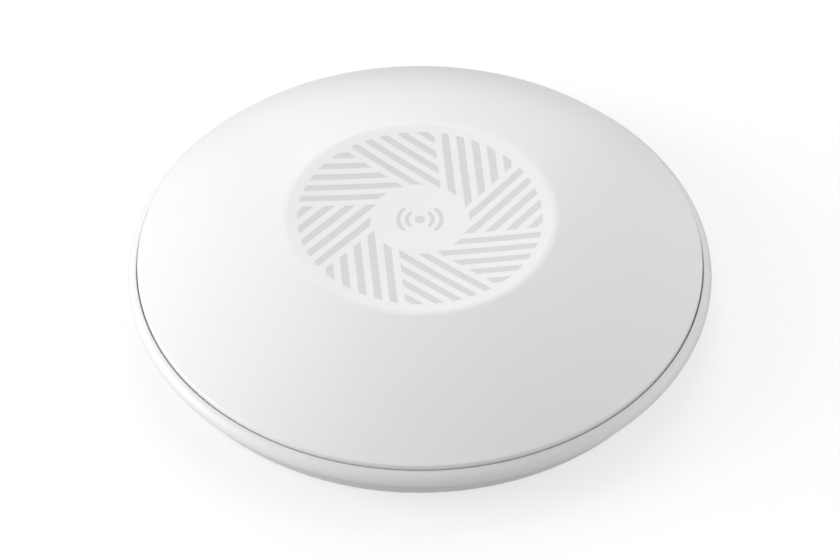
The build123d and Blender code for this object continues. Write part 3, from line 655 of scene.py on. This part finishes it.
def power_inductors():
    """Two shielded inductors: a round core in a square shell, with wrapped terminals."""
    shells, cores, terminals = Shape(), Shape(), Shape()
    core_stands, core_depth, bevel = 0.4 * mm, 1.0 * mm, 0.2 * mm
    for low, high in solids("power_inductors"):
        foot = foot_of((low, high))
        width = high.x - low.x
        height = high.z - low.z
        shell_top = height - core_stands
        levels = ((0.1 * mm, bevel), (0.3 * mm, 0), (shell_top - bevel, 0), (shell_top, bevel))
        shells.slab(foot, rounded_outline(width, width, 0.16 * width), levels)
        radius = 0.43 * width
        core_bottom = height - core_depth
        profile = (
            (0, core_bottom),
            (radius, core_bottom),
            (radius, height - 0.25 * mm),
            (0.96 * radius, height - 0.05 * mm),
            (0.9 * radius, height),
            (0, height),
        )
        cores.lathe(foot, profile, steps=48)
        for side in (-1, 1):
            wall = foot + Vector((side * width / 2, 0, lead_thickness))
            under = wall - Vector((side * 0.2 * width, 0, 0))
            path = (under, wall, wall + up * 0.45 * height)
            terminals.strip(path, (0, 1, 0), 0.4 * width, -side * lead_thickness)
    shells.piece("inductor_shells", materials["ferrite"], "ferrite", "power_inductors")
    cores.piece("inductor_cores", materials["ferrite"], "ferrite")
    terminals.piece("inductor_terminals", solder, "shield_tin")


def power_transformer():
    """Two ferrite halves round a taped coil, on a bobbin with a row of pins on each side."""
    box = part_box("power_transformer")
    width, depth, height = box[1] - box[0]
    foot = foot_of(box)
    flange = 1.4 * mm
    leg = 0.175 * width
    glue = 0.04 * mm
    inside = width - 2 * leg

    halves = Shape()
    for base, sense in ((0, 1), (height, -1)):
        split = sense * (height / 2 - glue)
        profile = (
            (-width / 2, 0),
            (width / 2, 0),
            (width / 2, split),
            (inside / 2, split),
            (inside / 2, sense * flange),
            (-inside / 2, sense * flange),
            (-inside / 2, split),
            (-width / 2, split),
        )
        ends = (-depth / 2, depth / 2)
        halves.loft([[foot + Vector((x, y, base + z)) for x, z in profile] for y in ends])
    halves.piece("transformer_core", materials["ferrite"], "ferrite", "power_transformer")

    coil = Shape()
    tape_turns = 6
    tape_step = 0.14 * mm
    tape_edge = 0.08 * mm
    coil_low = flange + 0.35 * mm
    coil_high = height - coil_low
    outline = rounded_outline(inside - 0.5 * mm, depth - 0.6 * mm, 0.25 * inside, steps=8)
    levels = []
    for k in range(tape_turns):
        start = coil_low + (coil_high - coil_low) * k / tape_turns
        end = coil_low + (coil_high - coil_low) * (k + 1) / tape_turns
        levels += [(start, tape_step), (start + tape_edge, 0), (end - tape_edge, 0)]
    levels.append((coil_high, tape_step))
    coil.slab(foot, outline, levels)
    coil.piece("transformer_coil", amber_tape, "label_film")

    bobbin = Shape()
    plate, slack = 0.3 * mm, 0.1 * mm
    plate_outline = rounded_outline(inside - slack, depth - slack, 2 * plate)
    for z in (flange, height - flange - plate):
        bobbin.slab(foot, plate_outline, ((z + slack / 5, 0), (z + plate - slack / 5, 0)))
    bobbin.piece("transformer_bobbin", materials["chip_epoxy"], "chip_epoxy")

    pins = Shape()
    pin_count, pin_pitch, pin_width = 5, 2.5 * mm, 0.7 * mm
    pin_height, pin_reach = 0.8 * mm, 1.6 * mm
    for side in (-1, 1):
        row = foot + Vector((0, side * depth / 2, pin_height))
        lead_row(pins, row, (0, side, 0), pin_count, pin_pitch, pin_width, pin_height, pin_reach)
    pins.piece("transformer_pins", solder, "shield_tin")


# ---------------------------------------------------------------- network parts
def network_transformer():
    """Moulded case with twelve leads along each long side and a dot that marks the first."""
    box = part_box("network_transformer")
    width, depth, height = box[1] - box[0]
    foot = foot_of(box)
    pin_count, pin_pitch, pin_width, pin_reach = 12, 1.9 * mm, 0.5 * mm, 1.5 * mm
    case, leads = Shape(), Shape()
    moulded_case(case, foot, (width, depth, height), draft=0.35 * mm)
    dot = foot + Vector((-0.43 * width, -0.36 * depth, height))
    first_pin_dot(case, dot, outer=0.7 * mm, inner=0.6 * mm, proud=0.03 * mm, steps=24)
    for side in (-1, 1):
        row = foot + Vector((0, side * depth / 2, height / 2))
        lead_row(leads, row, (0, side, 0), pin_count, pin_pitch, pin_width, height / 2, pin_reach)
    case.piece(
        "network_transformer_case", materials["chip_epoxy"], "chip_epoxy", "network_transformer"
    )
    leads.piece("network_transformer_leads", solder, "shield_tin")


joint_row_y = port_low.y + 3 * mm


def port_joints():
    """Solder cones where the port's pins and its shell's tabs come up through the board."""
    joints = Shape()
    pin_count, pin_pitch, row_gap, pin_radius = 8, 1.02 * mm, 2.54 * mm, 0.7 * mm
    tab_reach, tab_depth, tab_radius = 7 * mm, 1.2 * mm, 1.1 * mm
    centre_x = middle((port_low, port_high)).x
    places = []
    for k in range(pin_count):
        x = centre_x + (k - (pin_count - 1) / 2) * pin_pitch
        places.append((x, joint_row_y + (k % 2) * row_gap, pin_radius))
    for side in (-1, 1):
        places.append((centre_x + side * tab_reach, joint_row_y + tab_depth, tab_radius))
    for x, y, radius in places:
        profile = (
            (0, 0),
            (radius, 0),
            (0.55 * radius, 0.25 * mm),
            (0.35 * radius, 0.7 * mm),
            (0.3 * radius, 1.0 * mm),
            (0, 1.05 * mm),
        )
        joints.lathe(Vector((x, y, board_top)), profile, steps=16)
    joints.piece("port_joints", solder, "shield_tin")


# ---------------------------------------------------------------- small chips and crystals
# each chip's place, width, depth and leads on a side, in millimetres
small_chip_places = (
    (26.0, -8.0, 7.0, 7.0, 8),
    (28.0, 12.0, 5.0, 4.0, 4),
    (-28.0, 6.0, 5.0, 4.0, 4),
    (14.0, -34.0, 10.0, 4.0, 8),
    (34.0, -30.0, 5.0, 4.0, 4),
)
crystal_places = ((18.0, 4.0), (-18.0, 34.0))


def small_chips():
    """Power and logic chips, with leads on two sides, or on four if they are square."""
    cases, leads = Shape(), Shape()
    height, reach, draft = 1.3 * mm, 1.0 * mm, 0.12 * mm
    for x, y, width, depth, count in small_chip_places:
        foot = on_board(x, y)
        moulded_case(cases, foot, (width * mm, depth * mm, height), draft)
        dot = foot + Vector((-0.4 * width * mm, -0.34 * depth * mm, height))
        first_pin_dot(cases, dot, outer=0.3 * mm, inner=0.25 * mm, proud=0.02 * mm, steps=16)
        sides = [((0, -1, 0), depth), ((0, 1, 0), depth)]
        if width == depth:
            sides += [((-1, 0, 0), width), ((1, 0, 0), width)]
        pitch = 0.8 * width * mm / (count - 1)
        for out, across in sides:
            row = foot + Vector(out) * across * mm / 2 + up * height / 2
            lead_row(leads, row, out, count, pitch, 0.4 * pitch, height / 2, reach)
    cases.piece("small_chips", materials["chip_epoxy"], "chip_epoxy")
    leads.piece("small_chip_leads", solder, "shield_tin")


def crystal_cans():
    """Two oscillators in welded metal cans."""
    cans = Shape()
    width, depth, brim = 4.6 * mm, 3.0 * mm, 0.2 * mm
    clear, brim_top, shoulder, top, bevel = 0.02 * mm, 0.3 * mm, 1.0 * mm, 1.2 * mm, 0.15 * mm
    wall = rounded_outline(width, depth, 4 * brim)
    flange = rounded_outline(width + 2 * brim, depth + 2 * brim, 4.5 * brim)
    for x, y in crystal_places:
        foot = on_board(x, y)
        cans.slab(foot, flange, ((clear, 0), (brim_top, 0)))
        cans.slab(foot, wall, ((brim_top, 0), (shoulder, 0), (top, bevel)))
    cans.piece("crystal_cans", materials["shield_tin"], "shield_tin")


# ---------------------------------------------------------------- loose small parts on the board
part_seed = 17
part_grid = 0.5 * mm
part_reach = 66 * mm  # how far from the middle of the board the small parts go
tries_per_part = 60

# material group, how many on each face, length, width and height
part_kinds = (
    ("resistor", 60, 1.6 * mm, 0.8 * mm, 0.45 * mm),
    ("ceramic", 50, 1.6 * mm, 0.8 * mm, 0.8 * mm),
    ("ceramic", 14, 3.2 * mm, 1.6 * mm, 1.4 * mm),
)


def keep_out(x, y, half_x, half_y):
    """Rectangle, seen from above, that small parts stay clear of."""
    return (x - half_x, y - half_y, x + half_x, y + half_y)


def keep_out_boxes(names, margin):
    """The same round each solid of some CAD nodes."""
    kept = []
    for name in names:
        for low, high in solids(name):
            kept.append((low.x - margin, low.y - margin, high.x + margin, high.y + margin))
    return kept


def top_keep_out():
    """Everything on the board's top that small parts stay clear of."""
    big = ["network_transformer", "power_transformer", "power_capacitors", "power_inductors"]
    big += ["low_band_antennas", "high_band_antennas", "light_pipe", "board_screws"]
    lead_room, crystal_x, crystal_y, joint_room = 2, 4 * mm, 3 * mm, 8 * mm
    kept = keep_out_boxes(big, 1.6 * mm)
    for x, y, width, depth, count in small_chip_places:
        half_x = (width / 2 + lead_room) * mm
        half_y = (depth / 2 + lead_room) * mm
        kept.append(keep_out(x * mm, y * mm, half_x, half_y))
    for x, y in crystal_places:
        kept.append(keep_out(x * mm, y * mm, crystal_x, crystal_y))
    kept.append((port_low.x, port_low.y, port_high.x, port_low.y + joint_room))
    return kept


def bottom_keep_out():
    """The same for its underside, where the bay's walls and the posts come up to it."""
    big = ["processor_shield", "radio_shields", "port_shell", "reset_switch", "spreader_screws"]
    bay_half, bay_end, past_port, post_half = 19 * mm, -40 * mm, 1 * mm, 5 * mm
    kept = keep_out_boxes(big, 0.8 * mm)
    kept.append((-bay_half, bay_end, bay_half, port_low.y + past_port))
    for screw in solids("board_screws"):
        kept.append(keep_out(middle(screw).x, middle(screw).y, post_half, post_half))
    return kept


def is_free(x, y, half, kept):
    """Whether a square about a place stays clear of every kept rectangle."""
    return all(x + half < a or x - half > c or y + half < b or y - half > d for a, b, c, d in kept)


def scatter(count, half, kept, draws):
    """Free places on the board's grid, each of which is then kept clear too."""
    places = []
    for _ in range(tries_per_part * count):
        radius = part_reach * math.sqrt(draws.random())
        angle = 2 * math.pi * draws.random()
        x = round(radius * math.cos(angle) / part_grid) * part_grid
        y = round(radius * math.sin(angle) / part_grid) * part_grid
        if abs(x) > board_high.x - 4 * mm or not is_free(x, y, half, kept):
            continue
        places.append((x, y, draws.choice((0, 1))))
        kept.append(keep_out(x, y, half, half))
        if len(places) == count:
            break
    return places


def chip_part(bodies, ends, foot, size, turned):
    """Resistor or capacitor chip: a body between two soldered ends."""
    length, width, height = size
    cap = 0.22 * length
    edge = 0.06 * width
    along = Vector((1, 0, 0))
    core = (length - 1.6 * cap, 0.94 * width, 0.94 * height)
    end = (cap, width, height)
    if turned:
        along = Vector((0, 1, 0))
        core = (core[1], core[0], core[2])
        end = (end[1], end[0], end[2])
    bodies.block(foot, core, edge)
    for side in (-1, 1):
        ends.block(foot + along * side * (length - cap) / 2, end, edge)


def small_parts():
    """Chip resistors and ceramic capacitors over both faces of the board."""
    draws = random.Random(part_seed)
    bodies = {"resistor": Shape(), "ceramic": Shape()}
    ends = Shape()
    for z, kept, hangs in ((board_top, top_keep_out(), 0), (board_bottom, bottom_keep_out(), 1)):
        for group, count, length, width, height in part_kinds:
            for x, y, turned in scatter(count, 0.75 * length, kept, draws):
                foot = Vector((x, y, z - hangs * height))
                chip_part(bodies[group], ends, foot, (length, width, height), turned)
    bodies["resistor"].piece("chip_resistors", black_resistor, "chip_epoxy")
    bodies["ceramic"].piece("chip_capacitors", tan_ceramic, "led_body")
    ends.piece("chip_ends", solder, "shield_tin")


# ---------------------------------------------------------------- tracks
track_lift = 0.035 * mm


def antenna_feeds(tracks):
    """A feed from each antenna towards the radios: in, aside, and in again."""
    first_run, side_run, last_run, feed_width = 9 * mm, 7 * mm, 8 * mm, 0.5 * mm
    bend = Matrix.Rotation(math.radians(45), 3, "Z")
    for name in ("low_band_antennas", "high_band_antennas"):
        for box in solids(name):
            start = foot_of(box)
            inward = Vector((-start.x, -start.y, 0)).normalized()
            first = start + inward * first_run
            second = first + (bend @ inward) * side_run
            third = second + inward * last_run
            tracks.strip((start, first, second, third), up, track_lift, feed_width)


def port_bus(tracks):
    """Parallel tracks from the network transformer's leads."""
    low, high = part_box("network_transformer")
    track_count, track_pitch, track_width = 8, 2.4 * mm, 0.25 * mm
    first_x, lead_clear, bus_end = 3 * mm, 1.6 * mm, 6 * mm
    first_drop, next_drop, chamfer = 1.2 * mm, 0.55 * mm, 0.6 * mm
    for k in range(track_count):
        start = Vector((low.x + first_x + track_pitch * k, low.y - lead_clear, board_top))
        bend = start - Vector((0, first_drop + next_drop * k, 0))
        turn = bend - Vector((chamfer, chamfer, 0))
        end = Vector((low.x - bus_end, turn.y, board_top))
        tracks.strip((start, bend, turn, end), up, track_lift, track_width)


def board_tracks():
    """Raised tracks under the solder mask."""
    tracks = Shape()
    antenna_feeds(tracks)
    port_bus(tracks)
    tracks.piece("board_tracks", copper_track, "board_laminate")


# ---------------------------------------------------------------- screw threads
thread_rise = 0.28 * mm
thread_pitch = 1.0 * mm

# node, new piece, shank radius and length of the head, with the part it clamps
screw_kinds = (
    ("cover_screws", "cover_screw_threads", 1.45 * mm, 10.0 * mm, 17.4 * mm),
    ("board_screws", "board_screw_threads", 1.2 * mm, 12.9 * mm, 19.8 * mm),
    ("spreader_screws", "spreader_screw_threads", 1.2 * mm, 10.2 * mm, 14.8 * mm),
)


def screw_threads():
    """Threads on the shanks of the three kinds of screw."""
    for node_name, name, shank, low, high in screw_kinds:
        threads = Shape()
        for screw in solids(node_name):
            axis = middle(screw)
            axis.z = 0
            threads.thread(axis, low, high, shank, thread_rise, thread_pitch)
        threads.piece(name, materials["screw_steel"], "screw_steel")


# ---------------------------------------------------------------- status light and pads
def status_light():
    """White package with soldered ends and a clear lens."""
    low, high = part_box("status_led")
    width, depth, height = high - low
    foot = middle((low, high))
    foot.z = low.z
    package, lens, ends = Shape(), Shape(), Shape()
    body_height = 0.72 * height
    package.block(foot, (0.8 * width, depth, body_height), 0.06 * mm)
    lens_radius = 0.32 * width
    profile = [(0, body_height - 0.05 * mm)]
    for angle in (0, 0.4, 0.8, 1.2):
        rise = (height - body_height) * math.sin(angle)
        profile.append((lens_radius * math.cos(angle), body_height + rise))
    profile.append((0, height))
    lens.lathe(foot, profile, steps=24)
    for side in (-1, 1):
        shift = Vector((side * 0.45 * width, 0, 0))
        ends.block(foot + shift, (0.1 * width, 0.8 * depth, 0.4 * height), 0.03 * mm)
    package.piece("led_package", materials["led_body"], "led_body", "status_led")
    lens.piece("led_lens", materials["clear_plastic"], "clear_plastic")
    ends.piece("led_ends", solder, "shield_tin")


def gap_fillers():
    """Soft thermal pads, squeezed so that their sides bulge and their corners are round."""
    pads = Shape()
    bulge, corner, rounds = 0.3 * mm, 1.2 * mm, 6
    for low, high in solids("thermal_pads"):
        size = high - low
        foot = middle((low, high))
        foot.z = low.z
        levels = []
        for k in range(rounds + 1):
            share = k / rounds
            pinch = 1 - math.sin(math.pi * (0.1 + 0.8 * share))
            levels.append((size.z * share, bulge * pinch))
        pads.slab(foot, rounded_outline(size.x, size.y, corner, steps=6), levels)
    pads.piece("gap_fillers", materials["thermal_pad"], "thermal_pad", "thermal_pads")


def label_border():
    """Printed line round the blank rear label."""
    low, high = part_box("rear_label")
    line = Shape()
    inset, width, ink, corner = 1.4 * mm, 0.3 * mm, 0.02 * mm, 0.1 * mm
    centre = middle((low, high))
    centre.z = 0
    size = high - low
    bars = (
        ((0, size.y / 2 - inset), (size.x - 2 * inset, width)),
        ((0, inset - size.y / 2), (size.x - 2 * inset, width)),
        ((size.x / 2 - inset, 0), (width, size.y - 2 * inset)),
        ((inset - size.x / 2, 0), (width, size.y - 2 * inset)),
    )
    for (x, y), (across, along) in bars:
        outline = rounded_outline(across, along, corner, steps=2)
        line.slab(centre + Vector((x, y, 0)), outline, ((low.z - ink, 0), (low.z, 0)))
    line.piece("label_border", black_resistor, "label_film")


power_capacitors()
power_inductors()
power_transformer()
network_transformer()
small_chips()
crystal_cans()
port_joints()
small_parts()
board_tracks()
screw_threads()
status_light()
gap_fillers()
label_border()


# ---------------------------------------------------------------- stage
floor_half = 4.0
floor_tone = 0.5
floor_glow = 0.55  # lifts the floor, and the shadow on it, towards white


def floor_paint():
    """Pale matt floor that is clear from below, so that the object's back can be looked at."""
    g = Graph("floor_paint")
    slow = g.noise(3)
    shade = g.ramp(slow, "Fac", noise_low, noise_high, grey(floor_tone * 0.985), grey(floor_tone))
    g.colour(shade, "Color")
    g.set(Roughness=0.9, Specular_IOR_Level=0.1)
    g.set(Emission_Color=(1, 1, 1, 1), Emission_Strength=floor_glow)
    side = g.add("ShaderNodeNewGeometry")
    clear = g.add("ShaderNodeBsdfTransparent")
    choice = g.add("ShaderNodeMixShader")
    g.link(side, "Backfacing", choice, "Fac")
    g.tree.links.new(g.shader.outputs["BSDF"], choice.inputs[1])
    g.tree.links.new(clear.outputs["BSDF"], choice.inputs[2])
    g.link(choice, "Shader", g.output, "Surface")
    return g.material


floor_mesh = bpy.data.meshes.new("floor")
floor_mesh.from_pydata(
    [(sx * floor_half, sy * floor_half, 0) for sx, sy in ((-1, -1), (1, -1), (1, 1), (-1, 1))],
    [],
    [(0, 1, 2, 3)],
)
floor = bpy.data.objects.new("floor", floor_mesh)
floor.data.materials.append(floor_paint())
bpy.context.scene.collection.objects.link(floor)
# The floor takes the object's shadow but gives the object no light: the world does that.
floor.visible_diffuse = False
floor.visible_glossy = False
floor.visible_shadow = False


# ---------------------------------------------------------------- light
light_distance = 2.4
light_size = 1.5


def soft_light(name, direction, power):
    """Square area light that looks at the middle of the object."""
    data = bpy.data.lights.new(name, "AREA")
    data.shape = "SQUARE"
    data.size = light_size
    data.energy = power
    lamp = bpy.data.objects.new(name, data)
    toward = Vector(direction).normalized()
    lamp.location = toward * light_distance + Vector((0, 0, seam_z))
    lamp.rotation_mode = "QUATERNION"
    lamp.rotation_quaternion = toward.to_track_quat("Z", "Y")
    bpy.context.scene.collection.objects.link(lamp)


soft_light("left_window", (-0.978, 0.0, 0.208), 45)
soft_light("right_fill", (0.978, 0.0, 0.208), 10)
soft_light("back_window", (0.0, 0.766, 0.643), 12)
soft_light("back_low", (0.0, 0.978, 0.208), 4)

# The surroundings: bright overhead, dimmer below the horizon, and dark low down at the far side.
sky_strength = 0.615
near_ground_strength = 0.5
far_ground_strength = 0.03
far_side = (0.35, 0.95)  # over which Y of a direction the ground grows dark
horizon = (-0.08, 0.16)  # over which Z it turns into the sky


def smooth_step(tree, source, reach, low, high):
    """Value that goes smoothly from low to high as the source crosses its reach."""
    step = tree.nodes.new("ShaderNodeMapRange")
    step.interpolation_type = "SMOOTHSTEP"
    step.inputs["From Min"].default_value = reach[0]
    step.inputs["From Max"].default_value = reach[1]
    step.inputs["To Min"].default_value = low
    step.inputs["To Max"].default_value = high
    tree.links.new(source, step.inputs["Value"])
    return step.outputs["Result"]


world = bpy.data.worlds.new("studio")
world.use_nodes = True
world_tree = world.node_tree
direction = world_tree.nodes.new("ShaderNodeTexCoord")
axes = world_tree.nodes.new("ShaderNodeSeparateXYZ")
world_tree.links.new(direction.outputs["Generated"], axes.inputs["Vector"])
strengths = (near_ground_strength, far_ground_strength)
ground = smooth_step(world_tree, axes.outputs["Y"], far_side, *strengths)
sky_share = smooth_step(world_tree, axes.outputs["Z"], horizon, 0.0, 1.0)
blend = world_tree.nodes.new("ShaderNodeMix")
world_tree.links.new(sky_share, blend.inputs["Factor"])
world_tree.links.new(ground, blend.inputs["A"])
blend.inputs["B"].default_value = sky_strength
backdrop = world_tree.nodes["Background"]
backdrop.inputs["Color"].default_value = (1, 1, 1, 1)
world_tree.links.new(blend.outputs["Result"], backdrop.inputs["Strength"])
bpy.context.scene.world = world
bpy.context.scene.view_settings.view_transform = "Standard"
bpy.context.scene.view_settings.look = "None"

# ---------------------------------------------------------------- camera
camera_elevation = math.radians(45.03)
camera_distance = 16.67 * seam_radius
sensor_width = 36.0
lens_length = 201.8
lens_shift = (0.0001, -0.0229)

camera_data = bpy.data.cameras.new("camera")
camera_data.sensor_width = sensor_width
camera_data.lens = lens_length
camera_data.shift_x, camera_data.shift_y = lens_shift
camera = bpy.data.objects.new("camera", camera_data)
back = Vector((0, -math.cos(camera_elevation), math.sin(camera_elevation)))
camera.location = Vector((0, 0, seam_z)) + back * camera_distance
camera.rotation_mode = "QUATERNION"
camera.rotation_quaternion = back.to_track_quat("Z", "Y")
bpy.context.scene.collection.objects.link(camera)
bpy.context.scene.camera = camera
